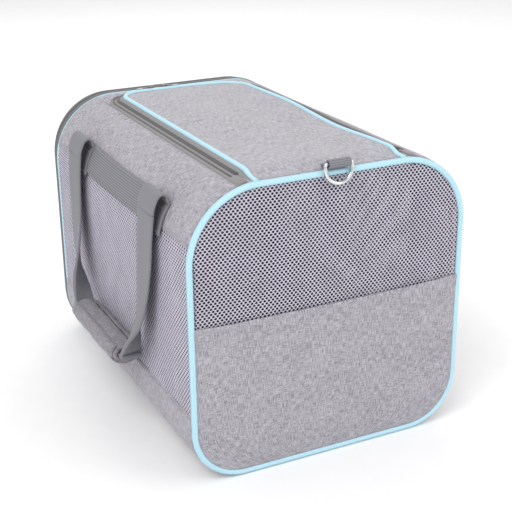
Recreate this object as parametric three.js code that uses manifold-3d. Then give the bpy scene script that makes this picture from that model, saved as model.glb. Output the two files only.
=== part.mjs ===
// Soft-sided pet carrier with a rigid-looking rounded-square cross-section.
// Units are millimetres and +Z is up. The front end faces -Y, the width runs along X,
// and the origin is the centre of the base's underside.
import * as THREE from "three";
import Module from "manifold-3d";

const wasm = await Module();
wasm.setup();

// ---------------------------------------------------------------- driving dimensions
const PANEL_W = 282;          // end panel width between the piping centrelines
const PANEL_H = 280;          // end panel height between the piping centrelines
const R_TOP = 68;             // upper corner radius on the piping centreline
const R_BOTTOM = 51;          // lower corner radius on the piping centreline
const PIPING_R = 3;           // edge piping radius
const FRONT_Y = -200;         // plane of the front piping
const REAR_Y = 174;           // plane of the rear piping
const DOOR_Y = 198.5;         // plane of the rear door's binding
const TAPER = 5;              // how far the sides of the zip band pull in towards the rear door
const FABRIC_IN = 1;          // inner face of the fabric, outward from the centreline
const FABRIC_OUT = 3;         // outer face of the fabric
const SEWN_ON = 3.75;         // inner face of webbing sewn on the fabric
const GAP = 0.3;              // gap between neighbouring pieces
const WINDOW_BOTTOM = 72;     // lower edge of the side mesh windows
const WINDOW_TOP = 236;       // upper edge of the side mesh windows
const FRONT_SPLIT = 160;      // top of the front lower panel
const DECK_X = 88;            // half width of the lid opening in the top
const LID_X = 75;             // half width of the lid, on its piping centreline
const LID_REAR = 147;         // rear edge of the lid, on its piping centreline
const LID_R = 25;             // lid corner radius, on its piping centreline
const HINGE_Y = -178;         // line on which the lid folds, level with its piping's top
const LID_TILT = 0.009;       // the lid rises slightly towards the rear
const WEB_W = 38;             // handle webbing width
const WEB_T = 2.2;            // handle webbing thickness
const BAND_W = 26;            // width of the webbing band sewn along each side
const RING_W = 31;            // D-ring width
const RING_WIRE = 1.8;        // D-ring wire radius
const RING_LEAN = -6;         // tilt of the hanging D-ring, in degrees
const RING_X = 3;             // D-ring's centre
const LOOP_W = 22.5;          // D-ring loop webbing width

const ARC_STEPS = 8;
const BASE_Z = PIPING_R;
const TOP_FLAT = PANEL_W / 2 - R_TOP;
const BOTTOM_FLAT = PANEL_W / 2 - R_BOTTOM;
const TOP_ARC_Z = BASE_Z + PANEL_H - R_TOP;
const BOTTOM_ARC_Z = BASE_Z + R_BOTTOM;
const SIDE_LEN = TOP_ARC_Z - BOTTOM_ARC_Z;
const TOP_ARC_LEN = (R_TOP * Math.PI) / 2;
const BOTTOM_ARC_LEN = (R_BOTTOM * Math.PI) / 2;
const HALF_LOOP = TOP_FLAT + TOP_ARC_LEN + SIDE_LEN + BOTTOM_ARC_LEN + BOTTOM_FLAT;

const group = new THREE.Group();
const X = new THREE.Vector3(1, 0, 0);
const Y = new THREE.Vector3(0, 1, 0);
const Z = new THREE.Vector3(0, 0, 1);

// ---------------------------------------------------------------- materials
const LOOKS = {
  heather: { color: 0xb3b1b6, roughness: 0.95, metalness: 0 },
  mesh: { color: 0xadabb8, roughness: 0.85, metalness: 0 },
  piping: { color: 0xbfe3ee, roughness: 0.6, metalness: 0 },
  webbing: { color: 0x9a9aa2, roughness: 0.85, metalness: 0 },
  grip: { color: 0x949398, roughness: 0.9, metalness: 0 },
  tape: { color: 0x8a8988, roughness: 0.8, metalness: 0 },
  binding: { color: 0x7c7b7a, roughness: 0.85, metalness: 0 },
  zipMetal: { color: 0x8f9093, roughness: 0.35, metalness: 1 },
  chrome: { color: 0xd6d7d9, roughness: 0.15, metalness: 1 },
  wire: { color: 0x9a9c9f, roughness: 0.4, metalness: 1 },
  board: { color: 0x5c5c60, roughness: 0.8, metalness: 0 },
  fleece: { color: 0xd9d7d6, roughness: 1, metalness: 0 },
};

function add(name, geometry, look) {
  const mesh = new THREE.Mesh(geometry, new THREE.MeshStandardMaterial(LOOKS[look]));
  mesh.name = name;
  group.add(mesh);
  return mesh;
}

// ---------------------------------------------------------------- solid helpers
// A closed solid from vertices and triangles, turned to face outwards.
function closedSolid(points, triangles) {
  let volume = 0;
  for (const [a, b, c] of triangles) {
    volume += points[a].dot(new THREE.Vector3().crossVectors(points[b], points[c]));
  }
  const ordered = volume < 0 ? triangles.map(([a, b, c]) => [a, c, b]) : triangles;
  const geometry = new THREE.BufferGeometry();
  geometry.setFromPoints(points);
  geometry.setIndex(ordered.flat());
  geometry.computeVertexNormals();
  return geometry;
}

// Joins rings of matching points into one solid. Every ring is the section at one station.
function loft(rings, section, closed = false) {
  const count = section.length;
  const points = rings.flat();
  const triangles = [];
  const spans = closed ? rings.length : rings.length - 1;
  for (let i = 0; i < spans; i += 1) {
    const here = i * count;
    const next = ((i + 1) % rings.length) * count;
    for (let j = 0; j < count; j += 1) {
      const k = (j + 1) % count;
      triangles.push([here + j, here + k, next + k], [here + j, next + k, next + j]);
    }
  }
  if (!closed) {
    const flat = section.map(([a, b]) => new THREE.Vector2(a, b));
    const turn = Math.sign(THREE.ShapeUtils.area(flat));
    const last = (rings.length - 1) * count;
    for (const [a, b, c] of THREE.ShapeUtils.triangulateShape(flat, [])) {
      const same = Math.sign(THREE.ShapeUtils.area([flat[a], flat[b], flat[c]])) === turn;
      const [p, q, r] = same ? [a, b, c] : [a, c, b];
      triangles.push([p, r, q], [last + p, last + q, last + r]);
    }
  }
  return closedSolid(points, triangles);
}

// Carries a section of [a, b] pairs along stations, each an origin with two directions.
function sweep(stations, section, closed = false) {
  const rings = stations.map((s) => {
    const shape = s.section ?? section;
    return shape.map(([a, b]) => s.origin.clone().addScaledVector(s.u, a).addScaledVector(s.v, b));
  });
  return loft(rings, section ?? stations[0].section, closed);
}

function circle(radius, sides = 8, centre = [0, 0]) {
  const points = [];
  for (let i = 0; i < sides; i += 1) {
    const angle = (2 * Math.PI * (i + 0.5)) / sides;
    points.push([centre[0] + radius * Math.cos(angle), centre[1] + radius * Math.sin(angle)]);
  }
  return points;
}

function ellipse(a, b, sides = 16) {
  return circle(1, sides).map(([x, y]) => [a * x, b * y]);
}

function rectangle(a0, a1, b0, b1) {
  return [[a0, b0], [a1, b0], [a1, b1], [a0, b1]];
}

function vec(x, y, z) {
  return new THREE.Vector3(x, y, z);
}

// A block between two corners.
function block(x0, x1, y0, y1, z0, z1) {
  return slab(rectangle(x0, x1, y0, y1), z0, z1);
}

// A flat outline in the XY plane, given thickness along Z.
function slab(outline, z0, z1) {
  const stations = [z0, z1].map((z) => ({ origin: vec(0, 0, z), u: X, v: Y }));
  return sweep(stations, outline);
}

// A flat outline in the XZ plane, given thickness along Y.
function wall(outline, y0, y1) {
  const stations = [y0, y1].map((y) => ({ origin: vec(0, y, 0), u: X, v: Z }));
  return sweep(stations, outline);
}

// A flat outline in the YZ plane, given thickness along X.
function rib(outline, x0, x1) {
  const stations = [x0, x1].map((x) => ({ origin: vec(x, 0, 0), u: Y, v: Z }));
  return sweep(stations, outline);
}

// The outline of a bent strip of even thickness along a line of [a, b] points.
function bentStrip(line, thickness) {
  const left = [];
  const right = [];
  line.forEach((point, i) => {
    const before = line[Math.max(i - 1, 0)];
    const after = line[Math.min(i + 1, line.length - 1)];
    const direction = new THREE.Vector2(after[0] - before[0], after[1] - before[1]).normalize();
    left.push([point[0] - direction.y * thickness / 2, point[1] + direction.x * thickness / 2]);
    right.push([point[0] + direction.y * thickness / 2, point[1] - direction.x * thickness / 2]);
  });
  return [...left, ...right.reverse()];
}

function toManifold(geometry) {
  return new wasm.Manifold(new wasm.Mesh({
    numProp: 3,
    vertProperties: new Float32Array(geometry.attributes.position.array),
    triVerts: new Uint32Array(geometry.index.array),
  }));
}

function fromManifold(manifold) {
  const mesh = manifold.getMesh();
  const geometry = new THREE.BufferGeometry();
  geometry.setAttribute("position", new THREE.BufferAttribute(mesh.vertProperties, 3));
  geometry.setIndex([...mesh.triVerts]);
  geometry.computeVertexNormals();
  return geometry;
}

function cut(geometry, tool) {
  return fromManifold(toManifold(geometry).subtract(toManifold(tool)));
}

function join(...geometries) {
  return fromManifold(geometries.map(toManifold).reduce((sum, next) => sum.add(next)));
}

function mirrored(geometry) {
  const points = [];
  const position = geometry.attributes.position;
  for (let i = 0; i < position.count; i += 1) {
    points.push(vec(-position.getX(i), position.getY(i), position.getZ(i)));
  }
  const index = geometry.index.array;
  const triangles = [];
  for (let i = 0; i < index.length; i += 3) {
    triangles.push([index[i], index[i + 1], index[i + 2]]);
  }
  return closedSolid(points, triangles);
}

// ---------------------------------------------------------------- cross-section outline
// The outline is walked by its length from the top centre, positive towards +X.
const TURN_1 = TOP_FLAT;
const TURN_2 = TURN_1 + TOP_ARC_LEN;
const TURN_3 = TURN_2 + SIDE_LEN;
const TURN_4 = TURN_3 + BOTTOM_ARC_LEN;

function outlinePoint(t) {
  let s = ((t + HALF_LOOP) % (2 * HALF_LOOP) + 2 * HALF_LOOP) % (2 * HALF_LOOP) - HALF_LOOP;
  const side = s < 0 ? -1 : 1;
  s = Math.abs(s);
  let x = s;
  let z = BASE_Z + PANEL_H;
  let angle = Math.PI / 2;
  if (s > TURN_4) {
    x = BOTTOM_FLAT - (s - TURN_4);
    z = BASE_Z;
    angle = -Math.PI / 2;
  } else if (s > TURN_3) {
    angle = -(s - TURN_3) / R_BOTTOM;
    x = BOTTOM_FLAT + R_BOTTOM * Math.cos(angle);
    z = BOTTOM_ARC_Z + R_BOTTOM * Math.sin(angle);
  } else if (s > TURN_2) {
    x = PANEL_W / 2;
    z = TOP_ARC_Z - (s - TURN_2);
    angle = 0;
  } else if (s > TURN_1) {
    angle = Math.PI / 2 - (s - TURN_1) / R_TOP;
    x = TOP_FLAT + R_TOP * Math.cos(angle);
    z = TOP_ARC_Z + R_TOP * Math.sin(angle);
  }
  return { x: side * x, z, nx: side * Math.cos(angle), nz: Math.sin(angle) };
}

function halfKnots() {
  const knots = [];
  for (let i = 0; i <= ARC_STEPS; i += 1) {
    knots.push(TURN_1 + (TOP_ARC_LEN * i) / ARC_STEPS);
  }
  for (let i = 0; i <= ARC_STEPS; i += 1) {
    knots.push(TURN_3 + (BOTTOM_ARC_LEN * i) / ARC_STEPS);
  }
  return knots;
}

function knotsBetween(from, to) {
  const half = halfKnots();
  const all = [...half, ...half.map((k) => -k)];
  const every = [...all, ...all.map((k) => k + 2 * HALF_LOOP)];
  const inside = every.filter((k) => k > from + 0.5 && k < to - 0.5).sort((a, b) => a - b);
  return [from, ...inside.filter((k, i) => i === 0 || k - inside[i - 1] > 0.01), to];
}

function outlineStations(from, to) {
  return knotsBetween(from, to).map((t) => {
    const p = outlinePoint(t);
    return { origin: vec(p.x, 0, p.z), u: vec(p.nx, 0, p.nz), v: Y };
  });
}

// Where the outline passes a height on a side, or a distance from the middle on the top.
function sideAt(z) {
  if (z > TOP_ARC_Z) {
    return TURN_1 + R_TOP * Math.acos((z - TOP_ARC_Z) / (R_TOP + FABRIC_OUT));
  }
  if (z >= BOTTOM_ARC_Z) {
    return TURN_2 + TOP_ARC_Z - z;
  }
  return TURN_3 + R_BOTTOM * Math.asin((BOTTOM_ARC_Z - z) / (R_BOTTOM + FABRIC_OUT));
}

function topAt(x) {
  return TURN_1 + R_TOP * Math.asin((x - TOP_FLAT) / (R_TOP + FABRIC_OUT));
}

// A fabric band that follows the outline, between two depths along Y.
function band(from, to, y0, y1, inner = FABRIC_IN, outer = FABRIC_OUT) {
  return sweep(outlineStations(from, to), rectangle(inner, outer, y0, y1));
}

// A closed ring round the whole outline.
function ringTube(y, radius, sides) {
  const stations = outlineStations(-HALF_LOOP, HALF_LOOP).slice(0, -1);
  return sweep(stations, circle(radius, sides, [0, y]), true);
}

// How far the zip band has pulled in where it meets the door: half as much along the top.
function doorInset(nz) {
  return TAPER * (1 - Math.max(nz, 0) / 2);
}

function taperedStations(stations, y0, y1) {
  const start = REAR_Y + PIPING_R;
  return stations.map((s) => {
    const inset = (y) => (-doorInset(s.u.z) * (y - start)) / (DOOR_Y - start);
    const section = [
      [FABRIC_IN + inset(y0), y0], [FABRIC_OUT + inset(y0), y0],
      [FABRIC_OUT + inset(y1), y1], [FABRIC_IN + inset(y1), y1],
    ];
    return { ...s, section };
  });
}

function taperedBand(from, to, y0, y1) {
  return sweep(taperedStations(outlineStations(from, to), y0, y1));
}

function taperedRing(y0, y1) {
  const stations = outlineStations(-HALF_LOOP, HALF_LOOP).slice(0, -1);
  return sweep(taperedStations(stations, y0, y1), undefined, true);
}

function doorBinding() {
  const stations = outlineStations(-HALF_LOOP, HALF_LOOP).slice(0, -1);
  const pulledIn = stations.map((s) => (
    { ...s, origin: s.origin.clone().addScaledVector(s.u, -doorInset(s.u.z)) }
  ));
  return sweep(pulledIn, circle(PIPING_R, 8, [0, DOOR_Y]), true);
}

// The part of an end panel above or below a height, set inside the piping.
function endOutline(from, to, inset) {
  return knotsBetween(from, to).map((t) => {
    const p = outlinePoint(t);
    const reach = typeof inset === "function" ? inset(p.nz) : inset;
    return [p.x + p.nx * reach, p.z + p.nz * reach];
  });
}

// ---------------------------------------------------------------- front end
const PANEL_INSET = -(PIPING_R + GAP);
add("front_piping", ringTube(FRONT_Y, PIPING_R, 8), "piping");
const splitAt = sideAt(FRONT_SPLIT);
add("front_mesh_window",
  wall(endOutline(-splitAt + GAP, splitAt - GAP, PANEL_INSET), FRONT_Y - 0.8, FRONT_Y + 0.8),
  "mesh");
add("front_lower_panel",
  wall(endOutline(splitAt, 2 * HALF_LOOP - splitAt, PANEL_INSET), FRONT_Y - 1.2, FRONT_Y + 1.2),
  "heather");

// A spring-wire bow behind each end's piping, from one lower corner over the top to the other.
function bowWire(y) {
  const foot = sideAt(30);
  return sweep(outlineStations(-foot, foot), circle(1.5, 6, [-6, y]));
}
add("front_bow_wire", bowWire(FRONT_Y + 6), "wire");

// ---------------------------------------------------------------- sides, base and top deck
const SKIN_Y0 = FRONT_Y + PIPING_R + GAP;
const SKIN_Y1 = REAR_Y - PIPING_R - GAP;
const windowTop = sideAt(WINDOW_TOP);
const windowBottom = sideAt(WINDOW_BOTTOM);
const deckEdge = topAt(DECK_X);

function addPair(name, geometry, look) {
  add(`right_${name}`, geometry, look);
  add(`left_${name}`, mirrored(geometry), look);
}

addPair("upper_panel", band(deckEdge, windowTop, SKIN_Y0, SKIN_Y1), "heather");
addPair("mesh_window",
  band(windowTop + GAP, windowBottom - GAP, SKIN_Y0, SKIN_Y1, FABRIC_IN + 0.4, FABRIC_OUT - 0.2), "mesh");
addPair("lower_panel", band(windowBottom, TURN_4, SKIN_Y0, SKIN_Y1), "heather");
add("bottom_panel", block(-BOTTOM_FLAT + GAP, BOTTOM_FLAT - GAP, SKIN_Y0, SKIN_Y1, 0, 2), "heather");
add("front_top_strip", band(-deckEdge + GAP, deckEdge - GAP, SKIN_Y0, HINGE_Y - GAP), "heather");

// Round a corner of the lid opening, at a distance outside the lid's piping.
function lidPath(offset, front = HINGE_Y + GAP) {
  const points = [{ p: [LID_X + offset, front], n: [1, 0] }];
  const corner = [LID_X - LID_R, LID_REAR - LID_R];
  for (let i = 0; i <= 6; i += 1) {
    const angle = (Math.PI / 2) * (i / 6);
    const n = [Math.cos(angle), Math.sin(angle)];
    points.push({ p: [corner[0] + (LID_R + offset) * n[0], corner[1] + (LID_R + offset) * n[1]], n });
  }
  const other = [...points].reverse().map(({ p, n }) => ({ p: [-p[0], p[1]], n: [-n[0], n[1]] }));
  return [...points, ...other];
}

function lidStations(offset, front) {
  return lidPath(offset, front).map(({ p, n }) => (
    { origin: vec(p[0], p[1], 0), u: vec(n[0], n[1], 0), v: Z }
  ));
}

function rearStripOutline() {
  const reach = DECK_X - LID_X;
  const inner = lidPath(reach - GAP).slice(1, -1).map(({ p }) => p);
  const x = DECK_X - GAP;
  return [[x, SKIN_Y1], ...inner, [-x, SKIN_Y1]];
}
add("rear_top_strip", slab(rearStripOutline(), 283.4, 285.4), "heather");

// The body half of the lid's zip slopes down and outwards to the edge of the deck.
const bodyTape = [[8.1, 285.5], [8.1, 284.1], [12.2, 282.3], [12.2, 283.7]];
add("lid_zip_body_tape", sweep(lidStations(0), bodyTape), "tape");

// ---------------------------------------------------------------- lid
function tilted(geometry) {
  const position = geometry.attributes.position;
  for (let i = 0; i < position.count; i += 1) {
    position.setZ(i, position.getZ(i) + LID_TILT * (position.getY(i) - HINGE_Y));
  }
  return geometry;
}

const lidFront = HINGE_Y + 1.2;
const lidInside = lidPath(-(PIPING_R + GAP), lidFront).map(({ p }) => p);
add("lid_panel", tilted(slab(lidInside, 286, 288)), "heather");
add("lid_piping", tilted(sweep(lidStations(0), circle(PIPING_R, 8, [0, 287]))), "piping");
const lidTape = [[3.4, 287.1], [3.4, 285.4], [7.6, 283.9], [7.6, 285.4]];
add("lid_zip_tape", tilted(sweep(lidStations(0, lidFront), lidTape)), "tape");

function cornerPiping() {
  const stations = [SKIN_Y0 - 0.2, HINGE_Y - GAP].map((y) => (
    { origin: vec(LID_X, y, 0), u: X, v: Z }
  ));
  return sweep(stations, circle(1.6, 8, [0, 288]));
}
addPair("corner_piping", cornerPiping(), "piping");

// ---------------------------------------------------------------- rear end
const ZIP_Y0 = REAR_Y + 9.3;
const ZIP_Y1 = REAR_Y + 12.8;
const DOOR_TAPE_Y0 = REAR_Y + 13.2;
const DOOR_TAPE_Y1 = REAR_Y + 17;
const DOOR_SKIN_Y1 = DOOR_Y - PIPING_R - GAP;
const doorReach = sideAt(21);
add("rear_piping", ringTube(REAR_Y, PIPING_R, 8), "piping");
add("rear_bow_wire", bowWire(REAR_Y), "wire");
add("rear_gusset", taperedRing(REAR_Y + PIPING_R + GAP, ZIP_Y0 - GAP), "binding");
add("rear_zip_body_tape", taperedBand(-doorReach + 1, doorReach - 1, ZIP_Y0, ZIP_Y1), "tape");
add("rear_bottom_gusset",
  taperedBand(doorReach, 2 * HALF_LOOP - doorReach, ZIP_Y0, DOOR_SKIN_Y1), "binding");

add("rear_zip_door_tape",
  taperedBand(-doorReach + 1, doorReach - 1, DOOR_TAPE_Y0, DOOR_TAPE_Y1), "tape");
add("rear_door_gusset",
  taperedBand(-doorReach + 1, doorReach - 1, DOOR_TAPE_Y1 + GAP, DOOR_SKIN_Y1), "binding");
add("rear_door_binding", doorBinding(), "binding");
const doorPanelInset = (nz) => PANEL_INSET - doorInset(nz);
add("rear_door_mesh_window",
  wall(endOutline(-splitAt + GAP, splitAt - GAP, doorPanelInset), DOOR_Y - 0.8, DOOR_Y + 0.8),
  "mesh");
add("rear_door_lower_panel",
  wall(endOutline(splitAt, 2 * HALF_LOOP - splitAt, doorPanelInset), DOOR_Y - 1.2, DOOR_Y + 1.2),
  "heather");

// ---------------------------------------------------------------- base board and mat
function roundedRectangle(x, y0, y1, radius) {
  const corners = [[x, y0, -90], [x, y1, 0], [-x, y1, 90], [-x, y0, 180]];
  return corners.flatMap(([cx, cy, start]) => {
    const centre = [cx - Math.sign(cx) * radius, cy + (cy === y0 ? radius : -radius)];
    return [0, 30, 60, 90].map((step) => {
      const angle = THREE.MathUtils.degToRad(start + step);
      return [centre[0] + radius * Math.cos(angle), centre[1] + radius * Math.sin(angle)];
    });
  });
}
add("base_board", slab(roundedRectangle(93, SKIN_Y0 + 5, SKIN_Y1 - 4, 8), 2.4, 5.4), "board");
add("fleece_mat", slab(roundedRectangle(94, FRONT_Y + 9, DOOR_Y - 5, 10), 6.4, 17.4), "fleece");

// ---------------------------------------------------------------- D-ring and its loop
const FRONT_EYE = [FRONT_Y - 4.5, 292];

// Webbing folded round the ring's bar and sewn down flat as a double layer.
function loopOutline(eye, tailEnd, deck) {
  const towards = Math.sign(tailEnd - eye[0]);
  const line = [[tailEnd, deck + 1.2], [eye[0] + towards * 8.5, deck + 1.2]];
  for (let i = 0; i <= 9; i += 1) {
    const angle = THREE.MathUtils.degToRad(-62 - i * 27.6);
    line.push([eye[0] - towards * 3.5 * -Math.cos(angle), eye[1] + 3.5 * Math.sin(angle)]);
  }
  line.push([eye[0] + towards * 8.5, deck + 3.4], [tailEnd, deck + 3.4]);
  return bentStrip(line, 1.6);
}
const loopFrom = RING_X - LOOP_W / 2;
const loopTo = RING_X + LOOP_W / 2;
add("front_ring_loop", rib(loopOutline(FRONT_EYE, HINGE_Y - 5, 286.2), loopFrom, loopTo), "webbing");

// A D-ring whose straight bar lies along X at its origin, the bow hanging along -Z.
function dRing() {
  const half = RING_W / 2 - RING_WIRE;
  const path = [];
  const corner = 2.2;
  const add2 = (cx, cz, radius, from, to, steps) => {
    for (let i = 0; i <= steps; i += 1) {
      const angle = THREE.MathUtils.degToRad(from + ((to - from) * i) / steps);
      path.push([cx + radius * Math.cos(angle), cz + radius * Math.sin(angle), angle]);
    }
  };
  add2(half - corner, -corner, corner, 90, 0, 3);
  add2(0, -4.5, half, 0, -180, 12);
  add2(-half + corner, -corner, corner, 180, 90, 3);
  const stations = path.map(([x, z, angle]) => (
    { origin: vec(x, 0, z), u: vec(Math.cos(angle), 0, Math.sin(angle)), v: Y }
  ));
  return sweep(stations, circle(RING_WIRE, 8), true);
}

const ring = add("front_d_ring", dRing(), "chrome");
ring.rotation.x = THREE.MathUtils.degToRad(RING_LEAN);
ring.position.set(RING_X, ...FRONT_EYE);

// ---------------------------------------------------------------- carry handles
const LEG_FRONT_Y = -123;
const LEG_REAR_Y = 84;
const FOLDED_W = 20;
const FOLDED_T = 4.6;

// The top of a leg, as distances from the middle plane and heights. The right handle is sewn
// on a little lower than the left one.
const LEFT_TOP = [[137, 262], [144.5, 258], [149.5, 248]];
const RIGHT_TOP = [[145.2, 247.5], [150, 243.5], [151.6, 236]];

// The rest of a leg: centre of the webbing, direction of its width, and how far it is folded.
const LEG_REST = [
  { p: [151.5, 1, 225], w: [0.02, 1, 0], f: 0 },
  { p: [153, 3, 195], w: [0.05, 1, 0], f: 0 },
  { p: [155, 8, 165], w: [0.12, 1, 0], f: 0.1 },
  { p: [157.5, 15, 138], w: [0.3, 1, 0.05], f: 0.35 },
  { p: [160, 24, 116], w: [0.7, 0.7, 0.1], f: 0.7 },
  { p: [160.5, 30, 100], w: [0.97, 0.25, 0.1], f: 0.95 },
  { p: [160.5, 34.5, 92.6], w: [1, 0.05, 0], f: 1 },
  { p: [160.5, 39.5, 90], w: [1, 0, 0], f: 1 },
];
const GRIP_X = 160.5;
const GRIP_Z = 90;
const GRIP_Y0 = -82;
const GRIP_Y1 = 43.5;

function legStations(top, topY, inward) {
  const points = [...top.map(([x, z]) => ({ p: [x, 0, z], w: [0, 1, 0], f: 0 })), ...LEG_REST];
  return points.map(({ p, w, f }, i) => {
    const before = points[Math.max(i - 1, 0)].p;
    const after = points[Math.min(i + 1, points.length - 1)].p;
    const shift = (q) => vec(q[0], topY + inward * q[1], q[2]);
    const along = shift(after).sub(shift(before)).normalize();
    const across = vec(-inward * w[0], inward * w[1], w[2]);
    across.addScaledVector(along, -across.dot(along)).normalize();
    const v = new THREE.Vector3().crossVectors(along, across);
    const half = THREE.MathUtils.lerp(WEB_W, FOLDED_W, f) / 2;
    const thick = THREE.MathUtils.lerp(WEB_T, FOLDED_T, f) / 2;
    return { origin: shift(p), u: across, v, section: rectangle(-half, half, -thick, thick) };
  });
}

// One leg, the folded run through the grip, and the other leg, as one right-hand strap.
function handleWebbing(top) {
  const front = legStations(top, LEG_FRONT_Y, 1);
  const rear = legStations(top, LEG_REAR_Y, -1).reverse();
  const stations = [...front, ...rear];
  for (let i = 1; i < stations.length; i += 1) {
    if (stations[i].u.dot(stations[i - 1].u) < 0) {
      stations[i].u.negate();
    }
    if (stations[i].v.dot(stations[i - 1].v) < 0) {
      stations[i].v.negate();
    }
  }
  return sweep(stations, stations[0].section);
}
add("right_handle_webbing", handleWebbing(RIGHT_TOP), "webbing");
add("left_handle_webbing", mirrored(handleWebbing(LEFT_TOP)), "webbing");

// Where the handle webbing starts, it lies sewn down on the upper panel.
function handleTail(centreY, from, to) {
  return band(from, to, centreY - WEB_W / 2, centreY + WEB_W / 2, SEWN_ON, SEWN_ON + WEB_T);
}
for (const [end, y] of [["front", LEG_FRONT_Y], ["rear", LEG_REAR_Y]]) {
  add(`right_${end}_handle_tail`, handleTail(y, sideAt(242), sideAt(216)), "webbing");
  add(`left_${end}_handle_tail`, mirrored(handleTail(y, topAt(131.5), sideAt(229))), "webbing");
}

const BAND_FROM = sideAt(258);
const BAND_TO = sideAt(258 - BAND_W);
addPair("handle_band", band(BAND_FROM, BAND_TO, LEG_FRONT_Y + WEB_W / 2 + 0.4,
  LEG_REAR_Y - WEB_W / 2 - 0.4, SEWN_ON, SEWN_ON + 1.6), "webbing");

// ---------------------------------------------------------------- padded grip on the left handle
function gripWrap() {
  const stations = [GRIP_Y0, GRIP_Y1].map((y) => ({ origin: vec(-GRIP_X, y, GRIP_Z), u: X, v: Z }));
  const body = sweep(stations, ellipse(15, 9.6, 20));
  const slot = block(-GRIP_X - FOLDED_W / 2 - 0.5, -GRIP_X + FOLDED_W / 2 + 0.5,
    GRIP_Y0 - 5, GRIP_Y1 + 5, GRIP_Z - FOLDED_T / 2 - 0.5, GRIP_Z + FOLDED_T / 2 + 0.5);
  return cut(body, slot);
}
add("grip_wrap", gripWrap(), "grip");

// The outer flap of the wrap, closed over its outer side and underside.
function gripFlap() {
  const line = [];
  for (let i = 0; i <= 12; i += 1) {
    const angle = THREE.MathUtils.degToRad(138 + i * 11);
    line.push([17 * Math.cos(angle), 11.6 * Math.sin(angle)]);
  }
  const outline = bentStrip(line, 2);
  const stations = [GRIP_Y0 + 4, GRIP_Y1 - 4].map((y) => (
    { origin: vec(-GRIP_X, y, GRIP_Z), u: X, v: Z }
  ));
  return sweep(stations, outline);
}
add("grip_flap", gripFlap(), "grip");

// ---------------------------------------------------------------- zip sliders and pulls
// A slider lies flat with its zip along X; its pull hooks through the bridge on its back.
const PULL_Z = 3.5;

function slider() {
  const body = slab([[-6, -3.4], [4, -4.2], [6, -2.6], [6, 2.6], [4, 4.2], [-6, 3.4]], 0, 2.4);
  const bridge = block(-3.5, 3.5, -1, 1, 2, 5.5);
  const eye = block(-2.3, 2.3, -2, 2, 2.6, 4.5);
  return cut(join(body, bridge), eye);
}

function pull() {
  const tab = slab([[-0.5, -3], [15, -3], [17, -1.6], [17, 1.6], [15, 3], [-0.5, 3]], -0.45, 0.45);
  const hole = block(0.6, 10.5, -1.7, 1.7, -1, 1);
  return cut(tab, hole);
}

function addSlider(name, position, turn) {
  const body = add(`${name}_slider`, slider(), "zipMetal");
  const tab = add(`${name}_pull`, pull(), "zipMetal");
  const place = new THREE.Matrix4().makeRotationFromEuler(new THREE.Euler(...turn, "XYZ"));
  place.setPosition(...position);
  body.applyMatrix4(place);
  tab.applyMatrix4(place.clone().multiply(new THREE.Matrix4().makeTranslation(0, 0, PULL_Z)));
}
addSlider("lid_left", [-32, LID_REAR + 12.8, 286.2], [0, 0, Math.PI]);
addSlider("lid_right", [-16, LID_REAR + 12.8, 286.2], [0, 0, 0]);
addSlider("rear_upper", [143.3, ZIP_Y1 + 0.2, 178], [0, Math.PI / 2, 0]);
addSlider("rear_lower", [143.3, ZIP_Y1 + 0.2, 150], [0, Math.PI / 2, 0]);

export default group;
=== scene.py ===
import math

import bpy
import numpy as np
from mathutils import Matrix, Vector


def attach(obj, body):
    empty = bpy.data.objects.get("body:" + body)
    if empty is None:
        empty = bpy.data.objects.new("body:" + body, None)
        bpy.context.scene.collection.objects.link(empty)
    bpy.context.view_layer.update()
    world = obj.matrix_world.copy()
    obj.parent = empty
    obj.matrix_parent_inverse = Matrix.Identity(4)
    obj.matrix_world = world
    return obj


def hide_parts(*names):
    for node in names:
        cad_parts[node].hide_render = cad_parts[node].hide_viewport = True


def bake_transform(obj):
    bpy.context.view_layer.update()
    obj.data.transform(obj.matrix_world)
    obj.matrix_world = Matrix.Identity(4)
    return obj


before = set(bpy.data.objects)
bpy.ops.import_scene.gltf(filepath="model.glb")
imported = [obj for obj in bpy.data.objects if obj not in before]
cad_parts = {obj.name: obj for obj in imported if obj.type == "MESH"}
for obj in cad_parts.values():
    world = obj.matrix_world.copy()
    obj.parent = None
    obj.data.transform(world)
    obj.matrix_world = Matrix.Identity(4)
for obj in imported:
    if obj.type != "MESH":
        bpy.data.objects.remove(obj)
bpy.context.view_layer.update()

# Soft-sided pet carrier. Shapes are worked out in millimetres and stored in metres.
MM = 0.001
W, H, R_TOP, R_BOT = 282.0, 280.0, 68.0, 51.0
BASE_Z = 3.0
FRONT_Y, REAR_Y, DOOR_Y = -200.0, 174.0, 198.5
TOP_FLAT, BOT_FLAT = W / 2 - R_TOP, W / 2 - R_BOT
TOP_ARC_Z, BOT_ARC_Z = BASE_Z + H - R_TOP, BASE_Z + R_BOT
TURN_1 = TOP_FLAT
TURN_2 = TURN_1 + R_TOP * math.pi / 2
TURN_3 = TURN_2 + TOP_ARC_Z - BOT_ARC_Z
TURN_4 = TURN_3 + R_BOT * math.pi / 2
HALF = TURN_4 + BOT_FLAT
LID_X, LID_REAR, LID_R, HINGE_Y = 75.0, 147.0, 25.0, -178.0
RING_X = 3.0
TAPER = 5.0
GRIP_X, GRIP_Z = 160.5, 90.0


# ------------------------------------------------------------ procedural materials
def new_material(name):
    material = bpy.data.materials.new(name)
    material.use_nodes = True
    tree = material.node_tree
    shader = tree.nodes["Principled BSDF"]
    return material, tree, shader


def cloth_vector(tree, scale):
    """The piece's own surface coordinates in millimetres, stretched by scale."""
    own = tree.nodes.new("ShaderNodeAttribute")
    own.attribute_name = "cloth"
    stretch = tree.nodes.new("ShaderNodeVectorMath")
    stretch.operation = "MULTIPLY"
    stretch.inputs[1].default_value = scale
    tree.links.new(own.outputs["Vector"], stretch.inputs[0])
    return stretch.outputs[0]


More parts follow.
